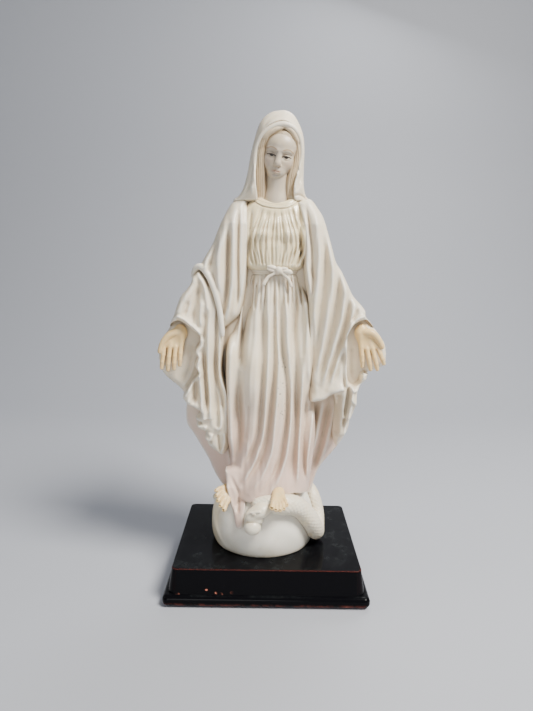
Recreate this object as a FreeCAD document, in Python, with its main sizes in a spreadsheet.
"""Veiled statue of a woman with open hands, standing on a globe and a serpent, on a lacquered wooden plinth.

The frame: origin at the centre of the underside, +Z up, the figure faces -Y and its right hand is at -X.
Heights of the figure are measured from a level that rides on the globe's top. With the sizes as they are, that
level is the plinth's top face.
"""

import math
import os

import FreeCAD
import Part
import Sketcher

PARTS_FOLDER = "parts"

# name, millimetres, what it is
SIZES = [
    ("plinth_width", 120.0, "top face of the plinth, along X"),
    ("plinth_depth", 97.0, "top face of the plinth, along Y"),
    ("plinth_corner", 3.5, "corner radius of the top face, seen from above"),
    ("felt_thickness", 0.8, "felt sheet under the plinth"),
    ("felt_inset", 5.0, "felt edge to bead board edge"),
    ("bead_height", 7.0, "thickness of the bead board"),
    ("bead_step", 3.0, "ledge between the block's foot and the bead's edge"),
    ("bead_round", 3.0, "radius of the bead board's long edges"),
    ("block_height", 15.8, "thickness of the top block"),
    ("block_slope", 2.4, "how far the block's foot stands out past its top edge"),
    ("block_edge", 0.6, "worn round on the block's top edge"),
    ("screw_spacing", 34.0, "distance between the two fixing screws"),
    ("screw_diameter", 4.0, "shank of a fixing screw"),
    ("screw_length", 30.0, "fixing screw under its head"),
    ("screw_head_diameter", 7.6, "pan head"),
    ("screw_head_height", 2.4, "pan head"),
    ("screw_slot_width", 1.0, "slot across the head"),
    ("screw_slot_depth", 1.1, "slot across the head"),
    ("screw_clearance", 0.25, "gap around the shank in the wood, on the radius"),
    ("counterbore_diameter", 11.0, "recess for head and washer"),
    ("counterbore_depth", 4.4, "recess for head and washer"),
    ("washer_diameter", 9.6, "outside"),
    ("washer_thickness", 1.0, "flat washer"),
    ("insert_diameter", 7.0, "brass insert cast into the globe"),
    ("insert_length", 14.0, "brass insert cast into the globe"),
    ("globe_radius", 36.0, "sphere of the globe"),
    ("globe_centre_height", 12.0, "sphere's centre above the plinth"),
    ("globe_shift", -3.0, "globe's centre along X"),
    ("standing_height", 48.0, "globe's top above the level from which the figure's heights are measured"),
    ("serpent_radius", 7.4, "thickest half width of the serpent"),
    ("serpent_head_length", 17.0, "snout to nape"),
    ("serpent_head_width", 10.5, "across the jaws"),
    ("serpent_head_depth", 9.0, "crown to chin"),
    ("apple_radius", 5.2, "fruit held in the jaws"),
    ("foot_length", 22.0, "heel to toes"),
    ("foot_width", 12.0, "across the toes"),
    ("foot_height", 9.0, "sole to instep"),
    ("toe_diameter", 2.9, "toe"),
    ("toe_length", 9.0, "toe"),
    ("hem_height", 34.0, "skirt's lowest section, hidden on the globe"),
    ("hem_width", 52.0, "skirt across the hem"),
    ("hem_depth", 52.0, "skirt front to back at the hem"),
    ("shin_height", 60.0, "skirt section"),
    ("shin_width", 57.0, "skirt section"),
    ("shin_depth", 43.0, "skirt section"),
    ("knee_height", 100.0, "skirt section"),
    ("knee_width", 54.0, "skirt section"),
    ("knee_depth", 39.0, "skirt section"),
    ("hip_height", 150.0, "skirt section"),
    ("hip_width", 46.0, "skirt section"),
    ("hip_depth", 34.0, "skirt section"),
    ("waist_height", 183.0, "underside of the sash"),
    ("waist_width", 31.0, "body under the sash"),
    ("waist_depth", 23.0, "body under the sash"),
    ("sash_height", 5.5, "width of the cloth belt"),
    ("sash_proud", 0.8, "how far the belt stands out of the waist"),
    ("bow_width", 15.0, "bow from loop to loop"),
    ("bow_tail", 11.0, "length of the bow's tails"),
    ("bow_thickness", 3.4, "thickness of knot and loops"),
    ("bust_height", 208.0, "bodice section"),
    ("bust_width", 39.0, "bodice section"),
    ("bust_depth", 29.0, "bodice section"),
    ("shoulder_height", 224.0, "bodice section"),
    ("shoulder_width", 38.0, "bodice section"),
    ("shoulder_depth", 22.0, "bodice section"),
    ("collar_height", 232.0, "top of the gathered collar"),
    ("collar_width", 21.0, "collar"),
    ("collar_depth", 17.0, "collar"),
    ("body_shift", 2.5, "the body's middle along X"),
    ("neck_diameter", 14.6, "neck"),
    ("head_height", 260.5, "middle of the head above the plinth"),
    ("head_shift", 4.0, "middle of the head along X"),
    ("head_width", 23.0, "temple to temple"),
    ("head_depth", 27.0, "brow to nape"),
    ("head_length", 33.0, "chin to crown"),
    ("head_lean", 5.0, "degrees that the head leans towards its left shoulder"),
    ("head_bow", 9.0, "degrees that the head bows forward"),
    ("hair_thickness", 1.9, "parted hair over the head"),
    ("veil_top", 285.0, "top of the veil above the plinth"),
    ("veil_width", 33.0, "veil at the temples"),
    ("veil_depth", 34.0, "veil at the temples"),
    ("veil_foot_width", 49.0, "veil where it lies on the shoulders"),
    ("veil_foot_depth", 27.0, "veil where it lies on the shoulders"),
    ("veil_opening", 25.0, "width of the opening around face and neck"),
    ("mantle_foot_height", 38.0, "mantle's lowest section"),
    ("mantle_foot_width", 56.0, "mantle section"),
    ("mantle_shin_height", 56.0, "mantle section"),
    ("mantle_shin_width", 78.0, "mantle section"),
    ("mantle_knee_height", 88.0, "mantle section"),
    ("mantle_knee_width", 104.0, "mantle section"),
    ("mantle_hip_height", 150.0, "mantle section"),
    ("mantle_hip_width", 84.0, "mantle section"),
    ("mantle_shoulder_height", 214.0, "mantle section"),
    ("mantle_shoulder_width", 62.0, "mantle section"),
    ("mantle_neck_height", 231.0, "mantle section"),
    ("mantle_neck_width", 44.0, "mantle section"),
    ("mantle_depth", 34.0, "mantle front to back"),
    ("mantle_back", 7.0, "mantle's middle behind the body's middle"),
    ("sleeve_reach", 78.0, "outer edge of a sleeve from the figure's middle"),
    ("sleeve_thickness", 18.0, "sleeve front to back around the forearm"),
    ("sleeve_shoulder_height", 221.0, "top of the sleeve"),
    ("sleeve_elbow_height", 178.0, "sleeve section"),
    ("sleeve_cuff_height", 131.0, "widest section, round the hand"),
    ("sleeve_fall_height", 96.0, "sleeve section in the hanging cloth"),
    ("right_tip_height", 56.0, "lowest point of the right sleeve"),
    ("left_tip_height", 60.0, "lowest point of the left sleeve"),
    ("palm_length", 19.0, "wrist to knuckles"),
    ("palm_width", 14.0, "across the knuckles"),
    ("palm_thickness", 6.0, "palm"),
    ("finger_length", 15.0, "free length of the middle finger"),
    ("finger_diameter", 3.4, "finger"),
    ("hand_drop", 31.0, "degrees that the fingers point outwards from straight down"),
]

doc = FreeCAD.newDocument("madonna_statue")
sheet = doc.addObject("Spreadsheet::Sheet", "sizes")
for row, (alias, value, note) in enumerate(SIZES, 1):
    sheet.set(f"A{row}", alias.replace("_", " "))
    sheet.set(f"B{row}", str(value))
    sheet.set(f"C{row}", note)
    sheet.setAlias(f"B{row}", alias)
doc.recompute()
ALIASES = [alias for alias, _, _ in SIZES]

PLINTH_TOP = "(felt_thickness + bead_height + block_height)"
FIGURE_FLOOR = f"({PLINTH_TOP} + globe_centre_height + globe_radius - standing_height)"


def bound(text):
    """The expression with each named size written as a cell of the sheet."""
    words = []
    word = ""
    for letter in text + " ":
        if letter.isalnum() or letter == "_":
            word += letter
            continue
        if word:
            words.append(f"sizes.{word}" if word in ALIASES else word)
            word = ""
        words.append(letter)
    return "".join(words).strip()


def bind(thing, **expressions):
    """Ties properties of an object to the sheet. Placement_x stands for Placement.Base.x, and so on."""
    for name, text in expressions.items():
        path = name
        if name in ("at_x", "at_y", "at_z"):
            path = "Placement.Base." + name[-1]
        thing.setExpression(path, bound(str(text)))
    return thing


def made(kind, name, **expressions):
    return bind(doc.addObject(kind, name), **expressions)


# ---------------------------------------------------------------- helpers for sketched bodies


def plane_of(body, role):
    return next(f for f in body.Origin.OriginFeatures if f.Role == role)


def new_body(name):
    body = doc.addObject("PartDesign::Body", name)
    body.Label = name
    return body


def sketch_on(body, name, height):
    """A sketch on the body's XY plane, lifted to a height."""
    sketch = body.newObject("Sketcher::SketchObject", name)
    sketch.AttachmentSupport = [(plane_of(body, "XY_Plane"), "")]
    sketch.MapMode = "FlatFace"
    sketch.setExpression("AttachmentOffset.Base.z", bound(height))
    return sketch


def add_rectangle(sketch, width, depth, corner):
    """A rectangle with round corners, centred on the origin, with its sizes bound to the sheet."""
    half_x, half_y, r = 10.0, 8.0, 2.0
    in_x, in_y = half_x - r, half_y - r
    centres = [(in_x, in_y), (-in_x, in_y), (-in_x, -in_y), (in_x, -in_y)]
    up = FreeCAD.Vector(0, 0, 1)
    for i, (x, y) in enumerate(centres):
        circle = Part.Circle(FreeCAD.Vector(x, y, 0), up, r)
        sketch.addGeometry(Part.ArcOfCircle(circle, math.radians(90 * i), math.radians(90 * i + 90)), False)
    for i in range(4):
        a = sketch.Geometry[i].EndPoint
        b = sketch.Geometry[(i + 1) % 4].StartPoint
        sketch.addGeometry(Part.LineSegment(a, b), False)
    for i in range(4):
        sketch.addConstraint(Sketcher.Constraint("Tangent", i, 2, i + 4, 1))
        sketch.addConstraint(Sketcher.Constraint("Tangent", i + 4, 2, (i + 1) % 4, 1))
    for i in range(1, 4):
        sketch.addConstraint(Sketcher.Constraint("Equal", 0, i))
    for line in (4, 6):
        sketch.addConstraint(Sketcher.Constraint("Horizontal", line))
    for line in (5, 7):
        sketch.addConstraint(Sketcher.Constraint("Vertical", line))
    sketch.addConstraint(Sketcher.Constraint("Symmetric", 4, 1, 6, 1, -1, 1))
    across = sketch.addConstraint(Sketcher.Constraint("DistanceX", 5, 1, 7, 1, 2 * half_x))
    along = sketch.addConstraint(Sketcher.Constraint("DistanceY", 6, 1, 4, 1, 2 * half_y))
    sketch.setExpression(f"Constraints[{across}]", bound(width))
    sketch.setExpression(f"Constraints[{along}]", bound(depth))
    round_ = sketch.addConstraint(Sketcher.Constraint("Radius", 0, r))
    sketch.setExpression(f"Constraints[{round_}]", bound(corner))
    return sketch


def add_circle(sketch, diameter, x="0", index=0):
    """A circle on the X axis of a sketch."""
    sketch.addGeometry(Part.Circle(FreeCAD.Vector(1, 0, 0), FreeCAD.Vector(0, 0, 1), 2.0), False)
    sketch.addConstraint(Sketcher.Constraint("PointOnObject", index, 3, -1))
    size = sketch.addConstraint(Sketcher.Constraint("Diameter", index, 4.0))
    sketch.setExpression(f"Constraints[{size}]", bound(diameter))
    place = sketch.addConstraint(Sketcher.Constraint("DistanceX", -1, 1, index, 3, 1.0))
    sketch.setExpression(f"Constraints[{place}]", bound(x))
    return sketch


def edges_where(shape, wanted):
    """Names of the edges of a shape whose middle point passes a test."""
    names = []
    for number, edge in enumerate(shape.Edges, 1):
        if wanted(edge, edge.CenterOfMass):
            names.append(f"Edge{number}")
    return names


def level_edges(shape, height):
    return edges_where(shape, lambda e, c: e.BoundBox.ZLength < 0.01 and abs(c.z - height) < 0.01)


def dressed(body, kind, name, base, edges, **expressions):
    """A fillet or chamfer on named edges of a feature."""
    feature = body.newObject(kind, name)
    feature.Base = (base, edges)
    for key, text in expressions.items():
        feature.setExpression(key, bound(text))
    doc.recompute()
    return feature


SCREW_XS = ("-screw_spacing / 2 + globe_shift", "screw_spacing / 2 + globe_shift")


def drill(body, name, height, diameter, depth):
    """Two round pockets, one for each fixing screw, cut upwards from a height."""
    sketch = sketch_on(body, name + "_sketch", height)
    for index, x in enumerate(SCREW_XS):
        add_circle(sketch, diameter, x, index)
    pocket = body.newObject("PartDesign::Pocket", name)
    pocket.Profile = sketch
    pocket.Reversed = True
    pocket.setExpression("Length", bound(depth))
    doc.recompute()
    return pocket


# ---------------------------------------------------------------- plinth and fasteners


BOARD_GROWTH = "2 * block_slope + 2 * bead_step"


def make_bead_board():
    """Lower board of the plinth, with rounded edges and counterbores for the screws."""
    body = new_body("plinth_bead_board")
    sketch = sketch_on(body, "bead_outline", "felt_thickness")
    add_rectangle(sketch, f"plinth_width + {BOARD_GROWTH}", f"plinth_depth + {BOARD_GROWTH}", "plinth_corner")
    pad = body.newObject("PartDesign::Pad", "bead_pad")
    pad.Profile = sketch
    pad.setExpression("Length", bound("bead_height"))
    doc.recompute()
    underside = sheet.felt_thickness
    rims = level_edges(pad.Shape, underside) + level_edges(pad.Shape, underside + sheet.bead_height)
    dressed(body, "PartDesign::Fillet", "bead_roll", pad, rims, Radius="bead_round")
    drill(body, "bead_counterbores", "felt_thickness", "counterbore_diameter", "counterbore_depth")
    drill(body, "bead_holes", "felt_thickness", "screw_diameter + 2 * screw_clearance", "bead_height")
    return body


def make_top_block():
    """Upper board of the plinth: it narrows towards its top face, and the screws pass through it."""
    body = new_body("plinth_top_block")
    foot = sketch_on(body, "block_foot", "felt_thickness + bead_height")
    grow = "2 * block_slope"
    add_rectangle(foot, f"plinth_width + {grow}", f"plinth_depth + {grow}", "plinth_corner + block_slope")
    pad = body.newObject("PartDesign::Pad", "block_pad")
    pad.Profile = foot
    pad.setExpression("Length", bound("block_height"))
    pad.setExpression("TaperAngle", bound("-atan(block_slope / block_height)"))
    doc.recompute()
    top = sheet.felt_thickness + sheet.bead_height + sheet.block_height
    rim = level_edges(pad.Shape, top)
    dressed(body, "PartDesign::Fillet", "block_edge_round", pad, rim, Radius="block_edge")
    hole = "screw_diameter + 2 * screw_clearance"
    drill(body, "block_holes", "felt_thickness + bead_height", hole, "block_height")
    return body


def make_felt():
    """Felt sheet glued under the plinth; it hides the screw heads."""
    body = new_body("felt_sheet")
    grow = f"{BOARD_GROWTH} - 2 * felt_inset"
    sketch = sketch_on(body, "felt_outline", "0")
    corner = "plinth_corner - felt_inset / 2"
    add_rectangle(sketch, f"plinth_width + {grow}", f"plinth_depth + {grow}", corner)
    pad = body.newObject("PartDesign::Pad", "felt_pad")
    pad.Profile = sketch
    pad.setExpression("Length", bound("felt_thickness"))
    return body


def pair_at_screws(name, single):
    """The same solid at both screw places, as one node of two solids."""
    other = doc.addObject("Part::Mirroring", name + "_other")
    other.Source = single
    other.Normal = (1, 0, 0)
    other.setExpression("Base.x", bound("globe_shift"))
    pair = doc.addObject("Part::Compound", name)
    pair.Links = [single, other]
    return pair


SCREW_SEAT = "felt_thickness + counterbore_depth - washer_thickness"


def make_screws():
    """Pan-head screws driven up through the plinth into the globe."""
    x = SCREW_XS[1]
    shank = made("Part::Cylinder", "screw_shank", Radius="screw_diameter / 2", Height="screw_length",
                 at_x=x, at_z=SCREW_SEAT)
    tip = made("Part::Cone", "screw_tip", Radius1="screw_diameter / 2", Radius2="screw_diameter / 8",
               Height="screw_diameter / 2", at_x=x, at_z=f"{SCREW_SEAT} + screw_length")
    head = made("Part::Cylinder", "screw_head", Radius="screw_head_diameter / 2", Height="screw_head_height",
                at_x=x, at_z=f"{SCREW_SEAT} - screw_head_height")
    solid = doc.addObject("Part::MultiFuse", "screw_solid")
    solid.Shapes = [shank, tip, head]
    solid.Refine = True
    slot = made("Part::Box", "screw_slot", Length="screw_slot_width", Width="2 * screw_head_diameter",
                Height="2 * screw_slot_depth", at_x=f"{x} - screw_slot_width / 2",
                at_y="-screw_head_diameter", at_z=f"{SCREW_SEAT} - screw_head_height - screw_slot_depth")
    screw = doc.addObject("Part::Cut", "screw")
    screw.Base = solid
    screw.Tool = slot
    return pair_at_screws("fixing_screws", screw)


def ring(name, outer, inner, height, x, z):
    """A round tube standing at x, z."""
    outside = made("Part::Cylinder", name + "_outside", Radius=outer, Height=height, at_x=x, at_z=z)
    inside = made("Part::Cylinder", name + "_inside", Radius=inner, Height=height, at_x=x, at_z=z)
    tube = doc.addObject("Part::Cut", name + "_one")
    tube.Base = outside
    tube.Tool = inside
    return tube


def make_washers():
    """Flat washers between the screw heads and the wood."""
    washer = ring("washer", "washer_diameter / 2", "screw_diameter / 2 + screw_clearance", "washer_thickness",
                  SCREW_XS[1], SCREW_SEAT)
    return pair_at_screws("washers", washer)


def make_inserts():
    """Brass inserts cast into the underside of the globe, which the screws bite into."""
    insert = ring("insert", "insert_diameter / 2", "screw_diameter / 2", "insert_length",
                  SCREW_XS[1], PLINTH_TOP)
    return pair_at_screws("threaded_inserts", insert)


# ---------------------------------------------------------------- helpers for the sculpted figure


def section(name, x, y, height, width, depth):
    """A level ellipse at a height of the figure, turned by a right angle if it is deeper than wide."""
    outline = made("Part::Ellipse", name, MajorRadius=f"max({width}; {depth}) / 2",
                   MinorRadius=f"min({width}; {depth}) / 2", at_x=x, at_y=y, at_z=f"{FIGURE_FLOOR} + {height}")
    outline.setExpression("Placement.Rotation.Angle", bound(f"({width}) >= ({depth}) ? 0 : 90"))
    return outline


def loft(name, sections):
    """A smooth solid through level ellipses, given from the lowest to the highest."""
    solid = doc.addObject("Part::Loft", name)
    solid.Sections = [section(f"{name}_section_{i}", *s) for i, s in enumerate(sections)]
    solid.Solid = True
    solid.Ruled = False
    return solid


def egg(name, x, y, height, width, depth, length, turns=()):
    """An ellipsoid. Each turn is an axis and degrees, made in order about its own middle."""
    solid = made("Part::Ellipsoid", name, Radius1=f"({length}) / 2", Radius2=f"({width}) / 2",
                 Radius3=f"({depth}) / 2")
    rotation = FreeCAD.Rotation()
    for axis, degrees in turns:
        rotation = FreeCAD.Rotation(FreeCAD.Vector(*axis), degrees) * rotation
    solid.Placement.Rotation = rotation
    if x is None:
        return solid
    return bind(solid, at_x=x, at_y=y, at_z=f"{FIGURE_FLOOR} + {height}")


def joined(name, solids):
    fuse = doc.addObject("Part::MultiFuse", name)
    fuse.Shapes = solids
    fuse.Refine = False
    return fuse


def carved(name, base, tools):
    """The base with every tool cut out of it in turn. The last cut carries the node's name."""
    for i, tool in enumerate(tools, 1):
        cut = doc.addObject("Part::Cut", name if i == len(tools) else f"{name}_cut_{i}")
        cut.Base = base
        cut.Tool = tool
        cut.Refine = False
        base = cut
    return base


def limb(name, points, radii):
    """Balls at the points with cones between them, as a list of solids. Radii are expressions."""
    solids = []
    for i, (point, radius) in enumerate(zip(points, radii)):
        ball = made("Part::Sphere", f"{name}_joint_{i}", Radius=radius)
        ball.Placement.Base = point
        solids.append(ball)
    for i in range(len(points) - 1):
        run = points[i + 1] - points[i]
        cone = made("Part::Cone", f"{name}_run_{i}", Radius1=radii[i], Radius2=radii[i + 1])
        cone.Height = run.Length
        cone.Placement = FreeCAD.Placement(points[i], FreeCAD.Rotation(FreeCAD.Vector(0, 0, 1), run))
        solids.append(cone)
    return solids


def plinth_top():
    """The value of PLINTH_TOP."""
    return sheet.felt_thickness + sheet.bead_height + sheet.block_height


def on_figure(x, y, height):
    """A point at a height of the figure."""
    floor = plinth_top() + sheet.globe_centre_height + sheet.globe_radius - sheet.standing_height
    return FreeCAD.Vector(x, y, floor + height)


def make_globe():
    """Globe, cut flat where it stands on the plinth, with seats for the inserts."""
    ball = made("Part::Sphere", "globe_ball", Radius="globe_radius", at_x="globe_shift",
                at_z=f"{PLINTH_TOP} + globe_centre_height")
    under = made("Part::Box", "globe_under", Length="4 * globe_radius", Width="4 * globe_radius",
                 Height="2 * globe_radius", at_x="-2 * globe_radius", at_y="-2 * globe_radius",
                 at_z=f"{PLINTH_TOP} - 2 * globe_radius")
    seats = []
    screw_top = f"{SCREW_SEAT} + screw_length + screw_diameter"
    for index, x in enumerate(SCREW_XS):
        seats.append(made("Part::Cylinder", f"insert_seat_{index}", Radius="insert_diameter / 2",
                          Height="insert_length", at_x=x, at_z=PLINTH_TOP))
        seats.append(made("Part::Cylinder", f"screw_seat_{index}", at_x=x, at_z=PLINTH_TOP,
                          Radius="screw_diameter / 2 + screw_clearance",
                          Height=f"{screw_top} - {PLINTH_TOP}"))
    return carved("globe", ball, [under] + seats)


def on_globe(around, upward, lift):
    """A point over the globe: degrees around from the front, degrees up, and lift in serpent radii."""
    reach = sheet.globe_radius + lift * sheet.serpent_radius
    around, upward = math.radians(around), math.radians(upward)
    middle = plinth_top() + sheet.globe_centre_height
    return FreeCAD.Vector(
        sheet.globe_shift + reach * math.sin(around) * math.cos(upward),
        -reach * math.cos(around) * math.cos(upward),
        middle + reach * math.sin(upward),
    )


# degrees around, degrees up, lift off the globe, thickness: the last two as shares of the serpent's radius
SERPENT_ROUTE = [
    (4, 30, 0.75, 0.70),
    (24, 32, 0.85, 0.90),
    (39, 31, 0.90, 1.00),
    (52, 17, 0.75, 1.00),
    (67, 0, 0.60, 0.92),
    (84, -6, 0.50, 0.85),
    (97, 5, 0.55, 0.82),
    (104, 22, 0.60, 0.76),
    (126, 30, 0.60, 0.66),
    (152, 20, 0.55, 0.54),
    (176, 4, 0.45, 0.40),
    (196, -8, 0.35, 0.24),
]


def make_serpent(globe, feet):
    """Serpent over the globe's front: head and fruit at the figure's right, one coil at its left."""
    points = [on_globe(around, upward, lift) for around, upward, lift, _ in SERPENT_ROUTE]
    radii = [f"serpent_radius * {share}" for _, _, _, share in SERPENT_ROUTE]
    body = joined("serpent_whole", limb("serpent", points, radii))
    head = egg("serpent_head_egg", None, None, None, "serpent_head_width", "serpent_head_depth",
               "serpent_head_length", [((0, 1, 0), 78)])
    head.Placement.Base = on_globe(-8, 28, 0.75)
    apple = made("Part::Sphere", "apple_ball", Radius="apple_radius")
    apple.Placement.Base = on_globe(-10, 20, 0.55)
    body_node = carved("serpent_body", body, [globe] + feet)
    head_node = carved("serpent_head", head, [globe, body] + feet)
    apple_node = carved("apple", apple, [globe, body, head])
    return [body_node, head_node, apple_node], [body, head, apple]


# a toe's place on its foot, as shares of the foot's width and length
TOE_PITCH = 0.19
TOE_REACH = 0.20
TOE_FALL_BACK = 0.03

# where a foot's middle lies over the globe, as in SERPENT_ROUTE without the thickness, and then the degrees
# that the toes point away from straight ahead and the degrees that they point down
FOOT_STANCES = {
    "right_foot": ((-54.5, 38.0, 0.30), -58, 46),
    "left_foot": ((24.0, 45.9, 0.87), -6, 36),
}


def make_foot(name, globe):
    """A bare foot with five toes, standing against the globe."""
    place, aim, pitch = FOOT_STANCES[name]
    facing = FreeCAD.Rotation(FreeCAD.Vector(0, 0, 1), aim) * FreeCAD.Rotation(FreeCAD.Vector(1, 0, 0), pitch)
    across, ahead = facing.multVec(FreeCAD.Vector(1, 0, 0)), facing.multVec(FreeCAD.Vector(0, -1, 0))
    middle = on_globe(*place)
    heel = middle - ahead * sheet.foot_length * 0.30
    solids = []
    for i in range(5):
        aside = across * sheet.foot_width * (i - 2) * TOE_PITCH
        ball = middle + ahead * sheet.foot_length * (TOE_REACH - TOE_FALL_BACK * abs(i - 2)) + aside
        tip = ball + ahead * sheet.toe_length * 0.6
        solids += limb(f"{name}_ray_{i}", [heel + aside * 0.4, ball],
                       ["foot_height * 0.5", "foot_height * 0.3"])
        solids += limb(f"{name}_toe_{i}", [ball, tip], ["toe_diameter * 0.55", "toe_diameter * 0.5"])
    return carved(name, joined(name + "_whole", solids), [globe])


def make_dress(keep_out):
    """Skirt, sash and bodice, stacked on one another at the waist."""
    x = "body_shift"
    skirt = loft("skirt_loft", [
        (x, -3, "hem_height", "hem_width", "hem_depth"),
        (x, -2, "shin_height", "shin_width", "shin_depth"),
        (x, 0, "knee_height", "knee_width", "knee_depth"),
        (x, 0, "hip_height", "hip_width", "hip_depth"),
        (x, 0, "waist_height", "waist_width", "waist_depth"),
    ])
    belt_width = "waist_width + 2 * sash_proud"
    belt_depth = "waist_depth + 2 * sash_proud"
    sash = loft("sash", [
        (x, 0, "waist_height", belt_width, belt_depth),
        (x, 0, "waist_height + sash_height", belt_width, belt_depth),
    ])
    bodice = loft("bodice", [
        (x, 0, "waist_height + sash_height", "waist_width", "waist_depth"),
        (x, 0, "bust_height", "bust_width", "bust_depth"),
        (x, 0, "shoulder_height", "shoulder_width", "shoulder_depth"),
        (x, 0, "collar_height", "collar_width", "collar_depth"),
    ])
    return carved("skirt", skirt, keep_out), sash, bodice


def make_bow(keep_out):
    """Bow of the sash: a knot, two loops and two tails."""
    front = -(sheet.waist_depth / 2 + sheet.sash_proud + sheet.bow_thickness * 0.3)
    middle = on_figure(sheet.body_shift, front, sheet.waist_height + sheet.sash_height / 2)
    solids = limb("bow_knot", [middle], ["bow_thickness * 0.6"])
    for side, word in ((-1, "right"), (1, "left")):
        loop = middle + FreeCAD.Vector(side, 0, 0.1) * sheet.bow_width * 0.36
        tail = middle + FreeCAD.Vector(side * 0.6, 0, -0.8) * sheet.bow_tail
        thin, thick = "bow_thickness * 0.3", "bow_thickness * 0.55"
        solids += limb(f"bow_loop_{word}", [middle, loop], [thin, thick])
        solids += limb(f"bow_tail_{word}", [middle, tail], [thin, "bow_thickness * 0.42"])
    return carved("sash_bow", joined("bow_whole", solids), keep_out)


def head_turns():
    return [((1, 0, 0), sheet.head_bow), ((0, 1, 0), sheet.head_lean)]


def make_head():
    """Head on its neck. The neck stands on the collar."""
    skull = egg("skull", "head_shift", -3.5, "head_height", "head_width", "head_depth", "head_length",
                head_turns())
    neck = made("Part::Cylinder", "neck_column", Radius="neck_diameter / 2",
                Height="head_height - collar_height", at_x="(body_shift + head_shift) / 2", at_y=-0.5,
                at_z=f"{FIGURE_FLOOR} + collar_height")
    return joined("head", [skull, neck])


def make_hair(head):
    """Hair parted over the forehead, between the head and the veil."""
    grow = "2 * hair_thickness"
    cap = egg("hair_cap", "head_shift", -1.6, "head_height + 1.4", f"head_width + {grow}",
              f"head_depth + {grow}", f"head_length + {grow}", head_turns())
    window = egg("face_window", "head_shift - 0.6", "-head_depth", "head_height - 4.5", "head_width - 2.2",
                 "head_depth * 2", "head_length", head_turns())
    return carved("hair", cap, [head, window])


def make_veil(head, hair, keep_out):
    """Veil over the head and hair, open in front of the face, lying on the shoulders."""
    x = "head_shift"
    shell = loft("veil_loft", [
        ("body_shift", 2, "mantle_neck_height - 6", "veil_foot_width", "veil_foot_depth"),
        ("body_shift + 0.6", 1, "mantle_neck_height + 3", "veil_foot_width * 0.82", "veil_foot_depth"),
        (x, 0.5, "head_height - 10", "veil_width * 1.06", "veil_depth * 0.92"),
        (x, 0, "head_height + 3", "veil_width", "veil_depth"),
        (x, 0, "head_height + 15", "veil_width * 0.80", "veil_depth * 0.82"),
        (x, 0, "(veil_top - 2.2)", "veil_width * 0.44", "veil_depth * 0.46"),
        (x, 0, "veil_top", "veil_width * 0.1", "veil_depth * 0.1"),
    ])
    opening = egg("veil_window", x, "-veil_depth * 0.62", "head_height - 12", "veil_opening",
                  "veil_depth * 1.1", "head_length * 2.0", head_turns())
    return carved("veil", shell, [head, hair, opening] + keep_out)


def make_mantle(keep_out):
    """Mantle over the shoulders and down the back, closing round the dress from behind."""
    y = "mantle_back"
    cloth = loft("mantle_loft", [
        ("body_shift", y, "mantle_foot_height", "mantle_foot_width", "mantle_depth"),
        ("body_shift", y, "mantle_shin_height", "mantle_shin_width", "mantle_depth"),
        ("body_shift", y, "mantle_knee_height", "mantle_knee_width", "mantle_depth"),
        ("body_shift", y, "mantle_hip_height", "mantle_hip_width", "mantle_depth"),
        ("body_shift", "mantle_back * 0.5", "mantle_shoulder_height", "mantle_shoulder_width",
         "mantle_depth * 0.9"),
        ("body_shift", "mantle_back * 0.3", "mantle_neck_height", "mantle_neck_width", "mantle_depth * 0.6"),
    ])
    return carved("mantle", cloth, keep_out)


def make_sleeve(name, side, tip, keep_out):
    """Wide sleeve of the mantle, from the shoulder over the forearm to its hanging tip."""

    def x(share):
        return f"body_shift * 0.5 + {side} * (sleeve_reach * {share})"

    cloth = loft(name + "_loft", [
        (x(0.50), -3, tip, "sleeve_reach * 0.10", "sleeve_thickness * 0.35"),
        (x(0.50), -4, f"({tip} + sleeve_fall_height) / 2", "sleeve_reach * 0.30", "sleeve_thickness * 0.6"),
        (x(0.54), -5, "sleeve_fall_height", "sleeve_reach * 0.50", "sleeve_thickness * 0.75"),
        (x(0.66), -6, "sleeve_cuff_height", "sleeve_reach * 0.68", "sleeve_thickness * 0.8"),
        (x(0.57), -5, "(sleeve_cuff_height + sleeve_elbow_height) / 2", "sleeve_reach * 0.60",
         "sleeve_thickness"),
        (x(0.44), -2, "sleeve_elbow_height", "sleeve_reach * 0.42", "sleeve_thickness * 1.1"),
        (x(0.30), 0, "sleeve_shoulder_height", "sleeve_reach * 0.22", "sleeve_thickness * 0.8"),
    ])
    return carved(name, cloth, keep_out)


# each finger's length as a share of the middle finger's, from the thumb's side
FINGER_SHARES = (0.92, 1.0, 0.94, 0.76)
FINGER_PITCH = 0.27  # share of the palm's width from finger to finger
HAND_PLACE = 0.74  # share of the sleeve's reach
THUMB_SPREAD = 20  # degrees away from the fingers


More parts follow.
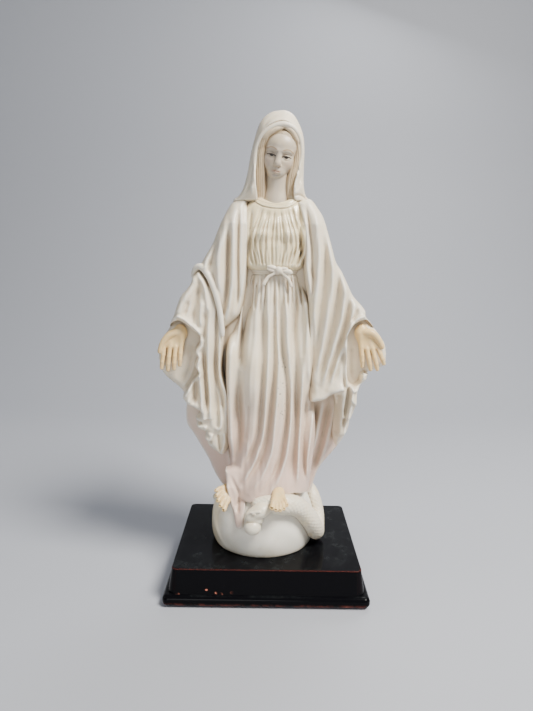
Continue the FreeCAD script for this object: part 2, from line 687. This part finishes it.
def make_hand(name, side):
    """An open hand, palm forward, fingers down and out, thumb outermost."""
    lean = FreeCAD.Rotation(FreeCAD.Vector(0, 1, 0), -sheet.hand_drop * side)
    down, outward = lean.multVec(FreeCAD.Vector(0, 0, -1)), lean.multVec(FreeCAD.Vector(side, 0, 0))
    middle = on_figure(side * sheet.sleeve_reach * HAND_PLACE, -6 - sheet.sleeve_thickness * 0.42,
                       sheet.sleeve_cuff_height + sheet.palm_length * 0.35)
    palm = down * sheet.palm_length / 2
    solids = []
    for i, share in enumerate(FINGER_SHARES):
        aside = outward * sheet.palm_width * FINGER_PITCH * (1.5 - i)
        knuckle = middle + palm + aside
        tip = knuckle + down * sheet.finger_length * share
        solids += limb(f"{name}_ray_{i}", [middle - palm + aside * 0.6, knuckle],
                       ["palm_thickness * 0.5", "palm_thickness * 0.42"])
        solids += limb(f"{name}_finger_{i}", [knuckle, tip],
                       ["finger_diameter / 2", "finger_diameter * 0.42"])
    spread = FreeCAD.Rotation(FreeCAD.Vector(0, 1, 0), -THUMB_SPREAD * side).multVec(down)
    root = middle - palm * 0.6 + outward * sheet.palm_width * 0.3
    solids += limb(name + "_thumb", [root, root + spread * sheet.finger_length * 1.1],
                   ["finger_diameter * 0.7", "finger_diameter * 0.48"])
    return joined(name, solids)


# ---------------------------------------------------------------- the assembly

nodes = [make_bead_board(), make_top_block(), make_felt(), make_screws(), make_washers(), make_inserts()]
globe = make_globe()
feet = [make_foot(name, globe) for name in FOOT_STANCES]
serpent_nodes, serpent_solids = make_serpent(globe, feet)
on_the_globe = [globe] + feet + serpent_solids
skirt, sash, bodice = make_dress(on_the_globe)
head = make_head()
hair = make_hair(head)
hands = [make_hand("right_hand", -1), make_hand("left_hand", 1)]
dress = [skirt, sash, bodice]
mantle = make_mantle(on_the_globe + [head] + dress)
bow = make_bow(dress)
sleeve_out = hands + dress + [mantle]
sleeves = [
    make_sleeve("right_sleeve", -1, "right_tip_height", sleeve_out),
    make_sleeve("left_sleeve", 1, "left_tip_height", sleeve_out),
]
veil = make_veil(head, hair, dress + [mantle] + sleeves)
nodes += [globe] + serpent_nodes + feet + dress + [bow, head, hair]
nodes += hands + [mantle] + sleeves + [veil]
doc.recompute()

faults = [f"{o.Name}: {' '.join(o.State)}" for o in doc.Objects if {"Invalid", "Error"} & set(o.State)]
for node in nodes:
    shape = node.Shape
    if shape.isNull() or not shape.isValid() or not shape.Solids:
        faults.append(f"{node.Name}: bad shape")
if faults:
    raise RuntimeError("; ".join(faults))

os.makedirs(PARTS_FOLDER, exist_ok=True)
for node in nodes:
    node.Label = node.Name
    node.Shape.exportStep(os.path.join(PARTS_FOLDER, node.Label + ".step"))
    box = node.Shape.BoundBox
    print(f"{node.Name:20s} solids {len(node.Shape.Solids)} volume {node.Shape.Volume:10.1f} "
          f"z {box.ZMin:7.1f} {box.ZMax:7.1f}")
